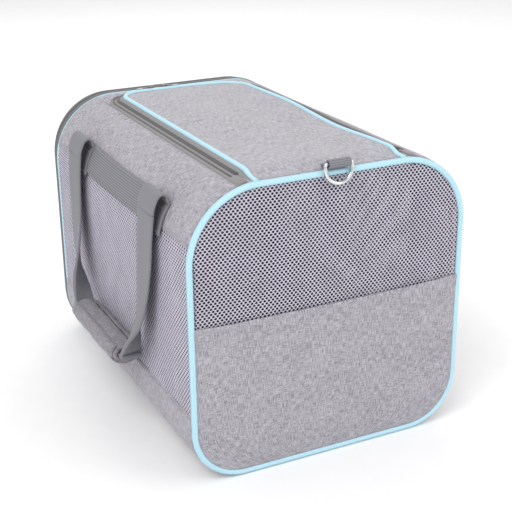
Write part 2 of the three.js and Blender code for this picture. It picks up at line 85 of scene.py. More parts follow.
def noise(tree, vector, scale=1.0, detail=2.0):
    node = tree.nodes.new("ShaderNodeTexNoise")
    node.inputs["Scale"].default_value = scale
    node.inputs["Detail"].default_value = detail
    tree.links.new(vector, node.inputs["Vector"])
    return node.outputs["Fac"]


def math_node(tree, operation, a, b):
    node = tree.nodes.new("ShaderNodeMath")
    node.operation = operation
    for socket, value in zip(node.inputs, (a, b)):
        if isinstance(value, (int, float)):
            socket.default_value = value
        else:
            tree.links.new(value, socket)
    return node.outputs[0]


def weighted(tree, *pairs):
    """Sum of node outputs, each times its weight."""
    total = None
    for value, weight in pairs:
        part = math_node(tree, "MULTIPLY", value, weight)
        total = part if total is None else math_node(tree, "ADD", total, part)
    return total


def ribs(tree, axis, pitch):
    """A rounded rib every pitch millimetres across one of the surface directions."""
    scale = [0.0, 0.0, 0.0]
    scale[axis] = 2 * math.pi / pitch
    split = tree.nodes.new("ShaderNodeSeparateXYZ")
    tree.links.new(cloth_vector(tree, scale), split.inputs[0])
    return math_node(tree, "MULTIPLY_ADD", math_node(tree, "SINE", split.outputs[axis], 0.0), 0.5)


def ramp(tree, factor, stops):
    node = tree.nodes.new("ShaderNodeValToRGB")
    while len(node.color_ramp.elements) < len(stops):
        node.color_ramp.elements.new(0.5)
    for element, (place, colour) in zip(node.color_ramp.elements, stops):
        element.position = place
        element.color = (*colour, 1)
    tree.links.new(factor, node.inputs["Fac"])
    return node.outputs["Color"]


def bump(tree, shader, height, strength, distance):
    node = tree.nodes.new("ShaderNodeBump")
    node.inputs["Strength"].default_value = strength
    node.inputs["Distance"].default_value = distance * MM
    tree.links.new(height, node.inputs["Height"])
    tree.links.new(node.outputs["Normal"], shader.inputs["Normal"])


def linear(rgb, gain=1.0):
    return tuple(min(1.0, gain * ((c / 255 + 0.055) / 1.055) ** 2.4) for c in rgb)


def heather(name, rgb, contrast=1.0):
    """Melange cloth: short pale and dark yarns crossing, over a fine plain weave."""
    material, tree, shader = new_material(name)
    warp = noise(tree, cloth_vector(tree, (0.13, 2.1, 1)), 1.0, 1)
    weft = noise(tree, cloth_vector(tree, (2.1, 0.13, 1)), 1.0, 1)
    grain = noise(tree, cloth_vector(tree, (0.8, 0.8, 1)), 1.0, 2)
    patch = noise(tree, cloth_vector(tree, (0.03, 0.03, 1)), 1.0, 2)
    total = weighted(tree, (warp, 0.5), (weft, 0.34), (grain, 0.1), (patch, 0.06))
    spread = 0.10 / contrast
    dark, mid, light = linear(rgb, 0.62), linear(rgb), linear(rgb, 1.3)
    colour = ramp(tree, total, [(0.5 - spread, dark), (0.5, mid), (0.5 + spread, light)])
    tree.links.new(colour, shader.inputs["Base Color"])
    weave = math_node(tree, "MULTIPLY", ribs(tree, 0, 0.9), ribs(tree, 1, 0.9))
    height = math_node(tree, "ADD", math_node(tree, "MULTIPLY", weave, 0.5), total)
    bump(tree, shader, height, 0.5, 0.35)
    shader.inputs["Roughness"].default_value = 0.92
    shader.inputs["Sheen Weight"].default_value = 0.12
    return material


def knit(name, rgb):
    """Knitted spacer mesh: fine vertical loops between the holes."""
    material, tree, shader = new_material(name)
    loops = noise(tree, cloth_vector(tree, (2.2, 0.9, 1)), 1.0, 2)
    patch = noise(tree, cloth_vector(tree, (0.05, 0.03, 1)), 1.0, 2)
    total = weighted(tree, (loops, 0.6), (patch, 0.4))
    colour = ramp(tree, total, [(0.3, linear(rgb, 0.8)), (0.7, linear(rgb, 1.12))])
    tree.links.new(colour, shader.inputs["Base Color"])
    bump(tree, shader, loops, 0.4, 0.3)
    shader.inputs["Roughness"].default_value = 0.8
    shader.inputs["Sheen Weight"].default_value = 0.1
    return material


def ribbed(name, rgb, axis, pitch, depth=0.4, rough=0.82, shade=0.72):
    """Woven webbing or tape with ribs across one direction."""
    material, tree, shader = new_material(name)
    rib = ribs(tree, axis, pitch)
    yarn = noise(tree, cloth_vector(tree, (1.1, 1.1, 1)), 1.0, 3)
    total = weighted(tree, (rib, 0.55), (yarn, 0.45))
    # Colour mixes random yarn tone with painted shade in the rib valleys; shade sets how dark the valleys
    # are painted.
    colour = ramp(tree, total, [(0.1, linear(rgb, shade)), (0.75, linear(rgb, 1.1))])
    tree.links.new(colour, shader.inputs["Base Color"])
    bump(tree, shader, total, 0.6, depth)
    shader.inputs["Roughness"].default_value = rough
    shader.inputs["Sheen Weight"].default_value = 0.08
    return material


def metal(name, rgb, low, high):
    """Plated metal with faint handling marks in its gloss."""
    material, tree, shader = new_material(name)
    where = tree.nodes.new("ShaderNodeNewGeometry").outputs["Position"]
    marks = noise(tree, where, 900.0, 3)
    span = tree.nodes.new("ShaderNodeMapRange")
    span.inputs["To Min"].default_value = low
    span.inputs["To Max"].default_value = high
    tree.links.new(marks, span.inputs["Value"])
    tree.links.new(span.outputs[0], shader.inputs["Roughness"])
    colour = ramp(tree, marks, [(0.3, linear(rgb, 0.9)), (0.7, linear(rgb, 1.05))])
    tree.links.new(colour, shader.inputs["Base Color"])
    shader.inputs["Metallic"].default_value = 1.0
    return material


def speckled(name, rgb, scale, rough, height=0.5, low=0.8, high=1.1):
    """Solid material with a fine grain taken from where it is in space."""
    material, tree, shader = new_material(name)
    where = tree.nodes.new("ShaderNodeNewGeometry").outputs["Position"]
    grain = noise(tree, where, scale, 4)
    colour = ramp(tree, grain, [(0.3, linear(rgb, low)), (0.7, linear(rgb, high))])
    tree.links.new(colour, shader.inputs["Base Color"])
    bump(tree, shader, grain, 0.5, height)
    shader.inputs["Roughness"].default_value = rough
    return material


HEATHER = heather("heather_cloth", (163, 160, 167), 2.0)
# A lighter copy of the heather cloth for the lid: painted light on the lit top.
LID_CLOTH_PAINTED_LIGHT = heather("lid_cloth", (168, 166, 172), 1.7)
KNIT = knit("window_knit", (194, 190, 205))
PIPING = ribbed("piping_cloth", (176, 216, 230), 0, 1.3, 0.15, 0.6, 0.9)
WEB_ACROSS = ribbed("webbing_cross_rib", (126, 126, 132), 1, 1.5, 0.35, shade=0.78)
LOOP_WEB = ribbed("loop_cross_rib", (126, 125, 132), 1, 1.9, 0.4, shade=0.7)
WEB_ALONG = ribbed("webbing_long_rib", (128, 128, 134), 0, 2.3, 0.5, shade=0.5)
TAPE = ribbed("zip_tape_twill", (140, 138, 139), 0, 0.9, 0.2)
BINDING = ribbed("binding_grosgrain", (116, 114, 114), 1, 1.1, 0.25)
GRIP = heather("grip_cloth", (138, 136, 141), 1.3)
# Near-black material for the grip's inner lining; the mesh hole walls take it too, as painted shade
# inside the holes.
LINING_AND_HOLE_SHADE = speckled("dark_lining_and_hole_shade", (40, 40, 44), 1500.0, 0.9)
COIL = ribbed("coil_nylon", (92, 91, 92), 0, 1.3, 0.3, 0.6)
THREAD = speckled("sewing_thread", (168, 166, 170), 3000.0, 0.8, 0.1)
CHROME = metal("ring_chrome", (222, 223, 225), 0.08, 0.2)
NICKEL = metal("zip_nickel", (170, 170, 172), 0.25, 0.4)
BOARD = speckled("board_grey", (88, 88, 92), 700.0, 0.75)
FLEECE = speckled("fleece_pile", (150, 148, 148), 420.0, 1.0, 1.6, 0.75, 1.1)
SLEEVE = speckled("wire_sleeve", (150, 149, 158), 1600.0, 0.9)


# ------------------------------------------------------------ mesh building
def make(name, points, faces, material, cloth=None, smooth=True):
    """A mesh object from millimetre points, with its surface coordinates."""
    mesh = bpy.data.meshes.new(name)
    mesh.from_pydata((np.asarray(points) * MM).tolist(), [], faces)
    mesh.validate()
    if cloth is not None:
        layer = mesh.attributes.new("cloth", "FLOAT_VECTOR", "POINT")
        layer.data.foreach_set("vector", np.asarray(cloth, dtype=np.float32).ravel())
    mesh.polygons.foreach_set("use_smooth", [smooth] * len(mesh.polygons))
    mesh.materials.append(material)
    piece = bpy.data.objects.new(name, mesh)
    bpy.context.scene.collection.objects.link(piece)
    return piece


def belongs(piece, body, slot, *nodes):
    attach(piece, body)
    if nodes:
        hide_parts(*nodes)
    return piece


def grid_faces(nu, nv, wrap_u=False, wrap_v=False, start=0, turn=False):
    faces = []
    for i in range(nu if wrap_u else nu - 1):
        for j in range(nv if wrap_v else nv - 1):
            a = start + i * nv + j
            b = start + ((i + 1) % nu) * nv + j
            c = start + ((i + 1) % nu) * nv + (j + 1) % nv
            d = start + i * nv + (j + 1) % nv
            faces.append((a, d, c, b) if turn else (a, b, c, d))
    return faces


def lengths(points):
    steps = np.linalg.norm(np.diff(points, axis=0), axis=1)
    return np.concatenate([[0], np.cumsum(steps)])


def cloth_sheet(name, outer, inner, material, us=None, vs=None):
    """A sheet with two faces and closed edges, from two matching grids of points."""
    nu, nv = outer.shape[:2]
    n = nu * nv
    us = lengths(outer[:, nv // 2]) if us is None else us
    vs = lengths(outer[nu // 2]) if vs is None else vs
    coords = np.stack([*np.meshgrid(us, vs, indexing="ij"), np.zeros((nu, nv))], axis=-1).reshape(-1, 3)
    faces = grid_faces(nu, nv) + grid_faces(nu, nv, start=n, turn=True)
    rim = [i * nv for i in range(nu)] + [(nu - 1) * nv + j for j in range(1, nv)]
    rim += [i * nv + nv - 1 for i in range(nu - 2, -1, -1)] + list(range(nv - 2, 0, -1))
    for a, b in zip(rim, rim[1:] + rim[:1]):
        faces.append((b, a, a + n, b + n))
    points = np.concatenate([outer.reshape(-1, 3), inner.reshape(-1, 3)])
    piece = make(name, points, faces, material, np.concatenate([coords, coords]))
    outwards(piece)
    return piece


def outwards(piece):
    """Turns the faces of a closed piece to look outwards."""
    mesh = piece.data
    points = np.empty(len(mesh.vertices) * 3)
    mesh.vertices.foreach_get("co", points)
    points = points.reshape(-1, 3)
    mesh.calc_loop_triangles()
    corners = np.empty(len(mesh.loop_triangles) * 3, dtype=np.int32)
    mesh.loop_triangles.foreach_get("vertices", corners)
    a, b, c = points[corners.reshape(-1, 3)].transpose(1, 0, 2)
    if np.einsum("ij,ij->", a, np.cross(b, c)) < 0:
        mesh.flip_normals()


def sweep(name, origins, u, v, section, material, closed=False, caps=True):
    """A closed section of (a, b) pairs carried along a path, one section or one per station."""
    origins, u, v = (np.asarray(q, dtype=float) for q in (origins, u, v))
    section = np.asarray(section, dtype=float)
    if section.ndim == 2:
        section = np.repeat(section[None], len(origins), axis=0)
    points = origins[:, None] + section[..., :1] * u[:, None] + section[..., 1:] * v[:, None]
    n, m = points.shape[:2]
    around = lengths(np.concatenate([section[0], section[0, :1]]))[:-1]
    along = lengths(origins)
    coords = np.stack([*np.meshgrid(along, around, indexing="ij"), np.zeros((n, m))], axis=-1)
    faces = grid_faces(n, m, wrap_u=closed, wrap_v=True)
    if not closed and caps:
        faces += [tuple(range(m)), tuple(range(n * m - 1, (n - 1) * m - 1, -1))]
    piece = make(name, points.reshape(-1, 3), faces, material, coords[..., [1, 0, 2]].reshape(-1, 3))
    outwards(piece)
    return piece


def circle(radius, sides=12, squash=1.0):
    angles = np.arange(sides) * 2 * math.pi / sides
    return np.stack([radius * np.cos(angles), squash * radius * np.sin(angles)], axis=1)


def rounded_bar(width, thick, corner=0.7):
    """Section of a strap: width across, thick through, with rounded edges."""
    w, t, c = width / 2, thick / 2, min(corner, thick / 2 - 0.01)
    flat = np.linspace(-w + c, w - c, 9)
    edge = [(w - 0.3 * c, t - 0.3 * c), (w, t - c), (w, -t + c), (w - 0.3 * c, -t + 0.3 * c)]
    top = [(x, t) for x in flat]
    return np.array(top + edge + [(x, -t) for x in flat[::-1]] + [(-x, -y) for x, y in edge])


# ------------------------------------------------------------ outline of the cross-section
def rim_at(t):
    """Points and outward directions on the outline, by length from the top centre."""
    t = np.asarray(t, dtype=float)
    s = (t + HALF) % (2 * HALF) - HALF
    side = np.where(s < 0, -1.0, 1.0)
    s = np.abs(s)
    high = np.clip((s - TURN_1) / R_TOP, 0, math.pi / 2)
    low = np.clip((s - TURN_3) / R_BOT, 0, math.pi / 2)
    x = np.minimum(s, TURN_1) + R_TOP * np.sin(high)
    z = BASE_Z + H - R_TOP * (1 - np.cos(high)) - np.clip(s - TURN_2, 0, TURN_3 - TURN_2)
    x = x - R_BOT * (1 - np.cos(low)) - np.maximum(s - TURN_4, 0)
    z = z - R_BOT * np.sin(low)
    angle = math.pi / 2 - high - low
    return side * x, z, side * np.cos(angle), np.sin(angle)


def side_at(z, reach=3.0):
    if z > TOP_ARC_Z:
        return TURN_1 + R_TOP * math.acos((z - TOP_ARC_Z) / (R_TOP + reach))
    if z >= BOT_ARC_Z:
        return TURN_2 + TOP_ARC_Z - z
    return TURN_3 + R_BOT * math.asin((BOT_ARC_Z - z) / (R_BOT + reach))


def top_at(x, reach=3.0):
    return TURN_1 + R_TOP * math.asin((x - TOP_FLAT) / (R_TOP + reach))


def rim_points(t, y, n):
    x, z, nx, nz = rim_at(t)
    return np.stack([x + n * nx, y + 0 * x, z + n * nz], axis=-1)


def rim_frames(t):
    x, z, nx, nz = rim_at(t)
    zero = 0 * x
    depth_way = np.tile([0.0, 1.0, 0.0], (len(x), 1))
    return np.stack([x, zero, z], -1), np.stack([nx, zero, nz], -1), depth_way


def ease(value, width):
    """0 up to an edge and 1 beyond a width inside it."""
    return np.clip(value / width, 0, 1)


def wrinkle(a, b, seed=0.0):
    """Low soft folds in the cloth, in millimetres."""
    return (0.55 * np.sin(a * 0.021 + 1.7 * np.sin(b * 0.013 + seed) + seed)
            + 0.35 * np.sin(b * 0.034 + 1.3 * np.sin(a * 0.017 + 2 * seed) + 2.1)
            + 0.16 * np.sin(a * 0.083 + b * 0.047 + 3 * seed))


def pinned(t, y):
    """0 at the edges of a panel, 1 well inside it."""
    a = ease(np.minimum(t - t.min(), t.max() - t), 22)
    b = ease(np.minimum(y - y.min(), y.max() - y), 22)
    return (a * (2 - a))[:, None] * (b * (2 - b))[None]


def wrapped_panel(name, t0, t1, y0, y1, material, puff=1.6, seed=0.0, thick=1.8, outer=3.0):
    """Cloth round part of the outline, sewn down at its edges and fuller between them."""
    t = np.linspace(t0, t1, max(6, int(abs(t1 - t0) / 5)))
    y = np.linspace(y0, y1, max(4, int((y1 - y0) / 6)))
    full = pinned(t, y)
    lift = outer + full * (puff + wrinkle(t[:, None], y[None], seed) * min(1.0, puff))
    x, z, nx, nz = rim_at(t)
    grid = lambda n: np.stack([x[:, None] + n * nx[:, None], np.broadcast_to(y[None], n.shape),
                               z[:, None] + n * nz[:, None]], axis=-1)
    return cloth_sheet(name, grid(lift), grid(lift - thick), material)


def stitches(name, line, normal, body, slot, pitch=3.4, length=2.3, size=0.32, material=None):
    """A row of short thread stitches along a line, standing a little proud of the cloth."""
    line, normal = np.asarray(line, float), np.asarray(normal, float)
    if normal.ndim == 1:
        normal = np.tile(normal, (len(line), 1))
    s = lengths(line)
    places = np.arange(pitch / 2, s[-1] - length / 2, pitch)
    points, faces = [], []
    pick = lambda where, data: np.stack([np.interp(where, s, data[:, k]) for k in range(3)], axis=-1)
    for place in places:
        ends = pick(np.array([place - length / 2, place, place + length / 2]), line)
        up = pick(np.array([place]), normal)[0]
        up /= np.linalg.norm(up)
        along = ends[2] - ends[0]
        along /= np.linalg.norm(along)
        across = np.cross(along, up)
        start = len(points)
        for spot, lift in zip(ends, (-0.15, 0.35, -0.15)):
            for a, b in ((-1, 0), (0, 1), (1, 0), (0, -1)):
                points.append(spot + size * (a * across + b * up) + lift * up)
        for ring in (0, 4):
            for k in range(4):
                faces.append((start + ring + k, start + ring + (k + 1) % 4,
                              start + ring + 4 + (k + 1) % 4, start + ring + 4 + k))
        faces += [(start, start + 3, start + 2, start + 1),
                  (start + 8, start + 9, start + 10, start + 11)]
    piece = make(name, points, faces, material or THREAD, np.asarray(points))
    return belongs(piece, body, slot)


# ------------------------------------------------------------ perforated mesh windows
PITCH_A, PITCH_B = 4.2, 2.5


def perforated(name, place, keep, a0, a1, b0, b1, material, hole=1.42, deep=1.1):
    """Mesh with staggered holes. place maps (a, b, depth) to points and keep picks the cells."""
    columns = np.arange(math.floor(a0 / PITCH_A), math.ceil(a1 / PITCH_A) + 1)
    rows = np.arange(math.floor(b0 / PITCH_B), math.ceil(b1 / PITCH_B) + 1)
    ca, cb = np.meshgrid(columns, rows, indexing="ij")
    centre_a = (ca + 0.5 * (cb % 2)) * PITCH_A
    centre_b = cb * PITCH_B
    chosen = keep(centre_a, centre_b)
    centre = np.stack([centre_a[chosen], centre_b[chosen]], axis=-1)
    half, tall, low = PITCH_A / 2, 2.132, 0.368
    corner = np.array([(0, tall), (-half, low), (-half, -low), (0, -tall), (half, -low), (half, low)])
    turn = np.radians([90, 150, 210, 270, 330, 30])
    ring = np.stack([hole * np.cos(turn), 0.86 * hole * np.sin(turn)], axis=-1)
    outer = centre[:, None] + corner[None]
    rounded, index = np.unique(np.round(outer.reshape(-1, 2), 2), axis=0, return_inverse=True)
    index = index.reshape(-1, 6)
    inner = (centre[:, None] + ring[None]).reshape(-1, 2)
    n_outer, n_inner = len(rounded), len(inner)
    flat = np.concatenate([rounded, inner, inner])
    depth = np.concatenate([np.zeros(n_outer), np.full(n_inner, 0.25), np.full(n_inner, deep)])
    front = n_outer + np.arange(n_inner).reshape(-1, 6)
    back = front + n_inner
    nxt = [1, 2, 3, 4, 5, 0]
    faces = np.concatenate([
        np.stack([index, index[:, nxt], front[:, nxt], front], axis=-1).reshape(-1, 4),
        np.stack([front, front[:, nxt], back[:, nxt], back], axis=-1).reshape(-1, 4)])
    points = place(flat[:, 0], flat[:, 1], depth)
    piece = make(name, points, faces.tolist(), material, np.column_stack([flat, 0 * depth]))
    # The hole walls get the near-black material: painted shade inside the holes.
    piece.data.materials.append(LINING_AND_HOLE_SHADE)
    walls = len(faces) // 2
    for face in piece.data.polygons[walls:]:
        face.material_index = 1
    return piece


def inside_outline(x, z, inset):
    """Whether points of an end panel lie inside the outline by a distance."""
    cz_top, cz_bot = TOP_ARC_Z, BOT_ARC_Z
    dx, dz = np.abs(x) - TOP_FLAT, z - cz_top
    top = np.where((dx > 0) & (dz > 0), np.hypot(dx, dz) < R_TOP - inset,
                   (np.abs(x) < W / 2 - inset) & (z < BASE_Z + H - inset))
    ex, ez = np.abs(x) - BOT_FLAT, cz_bot - z
    low = np.where((ex > 0) & (ez > 0), np.hypot(ex, ez) < R_BOT - inset, z > BASE_Z + inset)
    return top & low


# ------------------------------------------------------------ end panels
def end_window(name, y, sign, body, node, split, inset=0.0):
    top = BASE_Z + H - inset
    bulge = lambda x, z: 1.8 * np.cos(x / 95) * ease(z - split, 40) * ease(top - z, 30)
    place = lambda a, b, d: np.stack([a, y + sign * (bulge(a, b) - d), b], axis=-1)
    pulled_in = lambda b: inset * (1 - np.clip((b - TOP_ARC_Z) / R_TOP, 0, 1) / 2)
    keep = lambda a, b: inside_outline(a, b, 2.4 + pulled_in(b)) & (b > split - 3)
    piece = perforated(name, place, keep, -W / 2, W / 2, split - 6, H + 6, KNIT)
    return belongs(piece, body, "mesh_fabric", node)


def fill_rows(z0, z1, inset, steps):
    """Rows across an end panel between two heights, following its outline."""
    z = np.linspace(z0, z1, steps)
    low = np.clip(BOT_ARC_Z - z, 0, R_BOT - inset)
    high = np.clip(z - TOP_ARC_Z, 0, R_TOP - inset)
    low_half = BOT_FLAT + np.sqrt(np.maximum((R_BOT - inset) ** 2 - low ** 2, 0))
    high_half = TOP_FLAT + np.sqrt(np.maximum((R_TOP - inset) ** 2 - high ** 2, 0))
    return z, np.where(low > 0, low_half, np.where(high > 0, high_half, W / 2 - inset))


def end_lower(name, y, sign, body, node, split, seed, inset=0.0):
    """The lower end panel: cloth with a folded top edge."""
    z, half = fill_rows(BASE_Z + 1.2 + inset, split, 1.2 + inset, 40)
    z = np.concatenate([z, [split + 0.9, split + 0.9, split]])
    half = np.concatenate([half, half[-1:], half[-1:], half[-1:]])
    s = np.linspace(-1, 1, 61)
    x = half[:, None] * s[None]
    near_top = ease(z[:, None] - split + 25, 25)
    zz = np.broadcast_to(z[:, None], x.shape) + (1 - s[None] ** 2) * near_top * -2.0
    zz = zz + near_top * 1.2
    full = np.clip(np.minimum(half[:, None] - np.abs(x), zz - 6) / 25, 0, 1)
    out = full * (2.2 + 0.8 * wrinkle(x * 1.2, zz * 1.4, seed)) + 0.9
    hem = np.clip((z[:, None] - (split - 9)) / 1.5, 0, 1) * 0.7
    out = out + hem
    out[-3] -= 0.5
    out[-2] -= 1.5
    out[-1] -= 2.2
    outer = np.stack([x, y + sign * out, zz], axis=-1)
    inner = np.stack([x, y + sign * np.minimum(out - 1.2, 0.2), np.minimum(zz, split - 1.5)], axis=-1)
    piece = cloth_sheet(name, outer, inner, HEATHER, us=z, vs=s * W / 2)
    return belongs(piece, body, "heather_fabric", node)


end_window("front_window_mesh", FRONT_Y - 0.6, -1, "shell", "front_mesh_window", 157)
end_lower("front_lower_cloth", FRONT_Y - 0.6, -1, "shell", "front_lower_panel", 157, 0.4)
end_window("rear_window_mesh", DOOR_Y + 0.6, 1, "rear_door", "rear_door_mesh_window", 157, TAPER)
end_lower("rear_lower_cloth", DOOR_Y + 0.6, 1, "rear_door", "rear_door_lower_panel", 157, 1.9, TAPER)


def rim_cord(name, y, body, node, material, slot, squash=1.0, radius=2.9, inset=0.0):
    t = np.linspace(-HALF, HALF, 241)[:-1]
    origins, u, v = rim_frames(t)
    origins = origins - inset * (1 - np.maximum(u[:, 2:], 0) / 2) * u
    origins[:, 1] = y
    piece = sweep(name, origins, u, v, circle(radius, 14, squash), material, closed=True)
    return belongs(piece, body, slot, node)


rim_cord("front_edge_piping", FRONT_Y, "shell", "front_piping", PIPING, "piping_blue")
rim_cord("rear_edge_piping", REAR_Y, "shell", "rear_piping", PIPING, "piping_blue")
rim_cord("door_edge_binding", DOOR_Y, "rear_door", "rear_door_binding", BINDING, "binding_grey",
         1.05, 3.0, TAPER)

# ------------------------------------------------------------ sides, base and top
Y0, Y1 = FRONT_Y + 2.0, REAR_Y - 2.0
T_TOP, T_LOW, T_DECK = side_at(236), side_at(71), top_at(92.5)
for sign, side in ((1, "right"), (-1, "left")):
    piece = wrapped_panel(side + "_upper_cloth", sign * T_DECK, sign * (T_TOP + 1.2), Y0, Y1,
                          HEATHER, 0.7, 0.7 * sign)
    belongs(piece, "shell", "heather_fabric", side + "_upper_panel")

    def side_place(a, b, d, sign=sign):
        x, z, nx, nz = rim_at(sign * b)
        full = ease(b - T_TOP, 30) * ease(T_LOW - b, 30) * ease(a - Y0, 30) * ease(Y1 - a, 30)
        n = 2.3 - d + full * (1.2 + 0.8 * wrinkle(b, a, 2.2))
        return np.stack([x + n * nx, a, z + n * nz], axis=-1)

    keep = lambda a, b: (a > Y0 - 1.5) & (a < Y1 + 1.5) & (b > T_TOP - 2) & (b < T_LOW + 2)
    piece = perforated(side + "_window_mesh", side_place, keep, Y0 - 3, Y1 + 3,
                       T_TOP - 4, T_LOW + 4, KNIT, 1.2)
    belongs(piece, "shell", "mesh_fabric", side + "_mesh_window")
    for name, t in (("upper", T_TOP - 2.2), ("lower", T_LOW + 2.2)):
        line = rim_points(sign * np.full(80, t), np.linspace(Y0 + 4, Y1 - 4, 80), 3.2)
        x, z, nx, nz = rim_at(sign * t)
        stitches(f"{side}_{name}_seam_stitching", line, (float(nx), 0, float(nz)),
                 "shell", "heather_fabric")

piece = wrapped_panel("base_wrap_cloth", T_LOW - 1.2, 2 * HALF - T_LOW + 1.2, Y0, Y1,
                      HEATHER, 0.0, 0.2, 1.6)
belongs(piece, "shell", "heather_fabric", "left_lower_panel", "right_lower_panel", "bottom_panel")
piece = wrapped_panel("front_top_cloth", -T_DECK, T_DECK, FRONT_Y + 2, HINGE_Y - 0.6,
                      HEATHER, 0.0, 0.5, 1.6, 2.6)
belongs(piece, "shell", "heather_fabric", "front_top_strip")


# ------------------------------------------------------------ lid, its zip and the rear top strip
def lid_path(offset, front, steps=12, straight=24):
    """Plan line round the lid at a distance outside its piping, with outward directions."""
    corner = np.array([LID_X - LID_R, LID_REAR - LID_R])
    angles = np.linspace(0, math.pi / 2, steps)
    turn = np.stack([np.cos(angles), np.sin(angles)], axis=-1)
    arc = corner + (LID_R + offset) * turn
    leg_y = np.linspace(front, corner[1], straight)[:-1]
    leg = np.stack([np.full_like(leg_y, LID_X + offset), leg_y], axis=-1)
    half = np.concatenate([leg, arc])
    way = np.concatenate([np.tile([1.0, 0.0], (len(leg), 1)), turn])
    back_x = np.linspace(corner[0], -corner[0], 14)[1:-1]
    back = np.stack([back_x, np.full_like(back_x, LID_REAR + offset)], axis=-1)
    return (np.concatenate([half, back, half[::-1] * [-1, 1]]),
            np.concatenate([way, np.tile([0.0, 1.0], (len(back), 1)), way[::-1] * [-1, 1]]))


def lid_rise(y):
    """How far the lid's edge dips to meet the front piping."""
    dip = np.clip((HINGE_Y + 3 - y) / 15, 0, 1)
    return -4.6 * dip * dip * (3 - 2 * dip)


def lid_edge(offset, front, height, tilt=True):
    line, way = lid_path(offset, front)
    z = height + (lid_rise(line[:, 1]) if tilt else 0)
    origins = np.column_stack([line, np.broadcast_to(z, len(line))])
    return origins, np.column_stack([way, np.zeros(len(way))]), np.tile([0.0, 0.0, 1.0], (len(way), 1))


LID_Z = 289.5


def side_dip(x, y):
    """The lid's right edge sags near the front and towards the rear corner."""
    dip = 4.2 * np.exp(-((y + 70) / 62) ** 2) + 2.4 * np.clip((y - 30) / 90, 0, 1)
    return np.clip(x / LID_X, 0, 1) ** 1.5 * dip


def lid_cloth():
    """The lid's cloth: taut at the piping and sagging a little towards the right."""
    rows = []
    inset = 1.5
    in_front = np.linspace(FRONT_Y + 2, HINGE_Y, 7)[:-1]
    behind = np.linspace(HINGE_Y, LID_REAR - inset, 66)
    for y in np.concatenate([in_front, behind]):
        over = np.clip(y - (LID_REAR - LID_R), 0, LID_R - inset)
        half = LID_X - LID_R + math.sqrt(max((LID_R - inset) ** 2 - over ** 2, 0.0))
        s = np.linspace(-1, 1, 41)
        x = s * half
        full = ease(half - np.abs(x), 30) * ease(LID_REAR - y, 30) * ease(y - FRONT_Y - 2, 40)
        sag = 4.5 * np.exp(-((x - 30) / 30) ** 2 - ((y + 75) / 85) ** 2)
        swell = 3.4 * np.exp(-((x + 22) / 45) ** 2 - ((y - 40) / 90) ** 2)
        soft = swell - sag + 1.3 * wrinkle(x * 1.6, y * 1.3, 0.9)
        z = LID_Z + 0.6 + lid_rise(y) - side_dip(x, y) + full * soft
        rows.append(np.stack([x, np.full_like(x, y), z], axis=-1))
    outer = np.array(rows)
    piece = cloth_sheet("lid_cloth", outer, outer - [0, 0, 1.6], LID_CLOTH_PAINTED_LIGHT,
                        us=outer[:, 20, 1], vs=np.linspace(-75, 75, 41))
    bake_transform(piece)
    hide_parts("lid_panel")


lid_cloth()


def lid_piping():
    line, way = lid_path(0, FRONT_Y + 1, straight=60)
    z = LID_Z + lid_rise(line[:, 1]) - side_dip(*line.T)
    origins = np.column_stack([line, z])
    upright = np.tile([0.0, 0, 1], (len(z), 1))
    piece = sweep("lid_edge_piping", origins, np.column_stack([way, 0 * z]), upright,
                  circle(2.6, 12), PIPING)
    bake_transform(piece)
    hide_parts("lid_piping", "left_corner_piping", "right_corner_piping")


lid_piping()


def zip_row(name, origins, u, v, body):
    """One side of a zip's closed coil, or a dark cord of the coil material laid on the tape as painted
    shade.
    """
    return belongs(sweep(name, origins, u, v, circle(0.95, 8), COIL), body, "zip_tape")


def sloping_tape(name, start, end, body, node, tilt, front):
    """A zip tape that slopes outwards and down from the lid's edge and follows its sag."""
    origins, u, v = lid_edge(0, front, 0, tilt)
    sections = []
    for dip in side_dip(*origins[:, :2].T):
        a = np.array(start) - [0, dip * (1.0 if tilt else 0.3)]
        b = np.array(end) - [0, dip * (0.35 if tilt else 0.0)]
        way = (b - a) / np.linalg.norm(b - a)
        normal = np.array([-way[1], way[0]])
        steps = np.linspace(0, 1, 7)
        top = [a + (b - a) * f + normal * (0.7 + 0.25 * math.sin(math.pi * f)) for f in steps]
        low = [b + (a - b) * f - normal * 0.7 for f in steps]
        sections.append(np.array(top + low))
    piece = sweep(name, origins, u, v, sections, TAPE)
    if body == "shell":
        return belongs(piece, body, "zip_tape", node)
    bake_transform(piece)
    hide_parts(node)


sloping_tape("lid_zip_inner_tape", (2.4, 289.2), (7.6, 286.2), "lid", "lid_zip_tape", True, FRONT_Y + 3)
sloping_tape("lid_zip_outer_tape", (8.2, 285.6), (17.4, 282.8), "shell", "lid_zip_body_tape", False,
             FRONT_Y + 3)
# The third row is no coil: a dark cord along the outer tape's fold, painted shade of the crease.
for name, offset, height, body, tilt in (("lid_zip_inner_row", 7.5, 287.2, "lid", True),
                                         ("lid_zip_outer_row", 9.0, 286.4, "shell", False),
                                         ("lid_zip_fold_shade_cord", 13.4, 285.0, "shell", False)):
    origins, u, v = lid_edge(offset, HINGE_Y + 2, height, tilt)
    origins[:, 2] -= side_dip(*origins[:, :2].T) * 0.32
    zip_row(name, origins, u, v, body)


def rear_strip():
    reach, rows = 17.2, []
    line, _ = lid_path(reach, 90)
    keep = line[:, 1] > 100
    inner = line[keep]
    order = np.argsort(inner[:, 0])
    inner = inner[order]
    for f in np.linspace(0, 1, 12):
        y = inner[:, 1] + (Y1 - inner[:, 1]) * f
        beyond = np.maximum(np.abs(inner[:, 0]) - TOP_FLAT, 0)
        z = 285.4 + 0.5 * math.sin(math.pi * f) - beyond ** 2 / 150
        rows.append(np.column_stack([inner[:, 0], y, z]))
    outer = np.array(rows)
    piece = cloth_sheet("rear_top_cloth", outer, outer - [0, 0, 1.6], HEATHER, vs=inner[:, 0])
    return belongs(piece, "shell", "heather_fabric", "rear_top_strip")


rear_strip()


